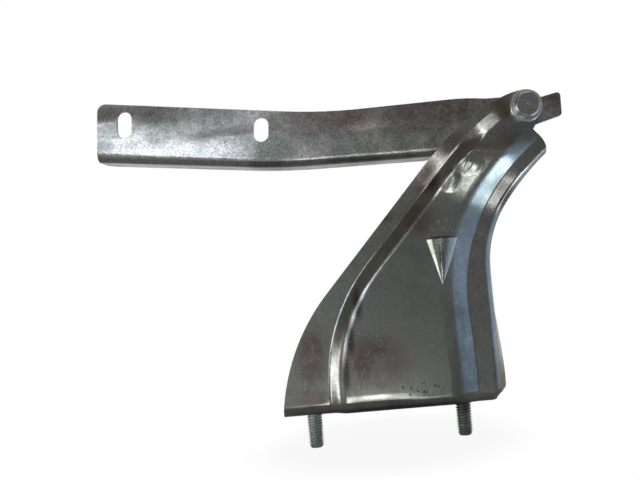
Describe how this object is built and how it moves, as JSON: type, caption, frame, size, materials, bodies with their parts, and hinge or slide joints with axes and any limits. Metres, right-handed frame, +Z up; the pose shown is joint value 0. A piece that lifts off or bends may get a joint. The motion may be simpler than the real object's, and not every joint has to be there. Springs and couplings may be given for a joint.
{
  "type": "vehicle hood hinge",
  "caption": "Hood hinge: a ribbed pressed-steel bracket standing on threaded studs carries a long slotted, flanged arm on a riveted pivot.",
  "frame": {"origin": "on the seat under the base flange, midway between the two studs", "axes": "+X towards the pivot end, along the row of studs; +Y back through the sheet, away from the rivet's head; +Z up from the seat. Installed position with the hood closed."},
  "size_m": [0.2296, 0.039, 0.1801],
  "materials": {
    "bracket_zinc": "zinc plated, dull",
    "arm_zinc": "zinc plated, dull",
    "rivet_steel": "turned and zinc plated",
    "washer_zinc": "zinc plated, bright",
    "bush_bronze": "sintered",
    "stud_zinc": "zinc plated, bright"
  },
  "bodies": {
    "bracket": {"bracket": "bracket_zinc", "pivot_pin": "rivet_steel", "head_washer": "washer_zinc", "thrust_washer": "washer_zinc", "tail_washer": "washer_zinc", "stud_left": "stud_zinc", "stud_right": "stud_zinc"},
    "arm": {"hood_arm": "arm_zinc", "pivot_bush": "bush_bronze"}
  },
  "joints": [
    {"name": "hood_pivot", "type": "hinge", "parent": "bracket", "child": "arm", "pos_m": [0.0786, -0.01564, 0.1432], "axis": [0, 1, 0], "range_deg": [0, 45]}
  ]
}
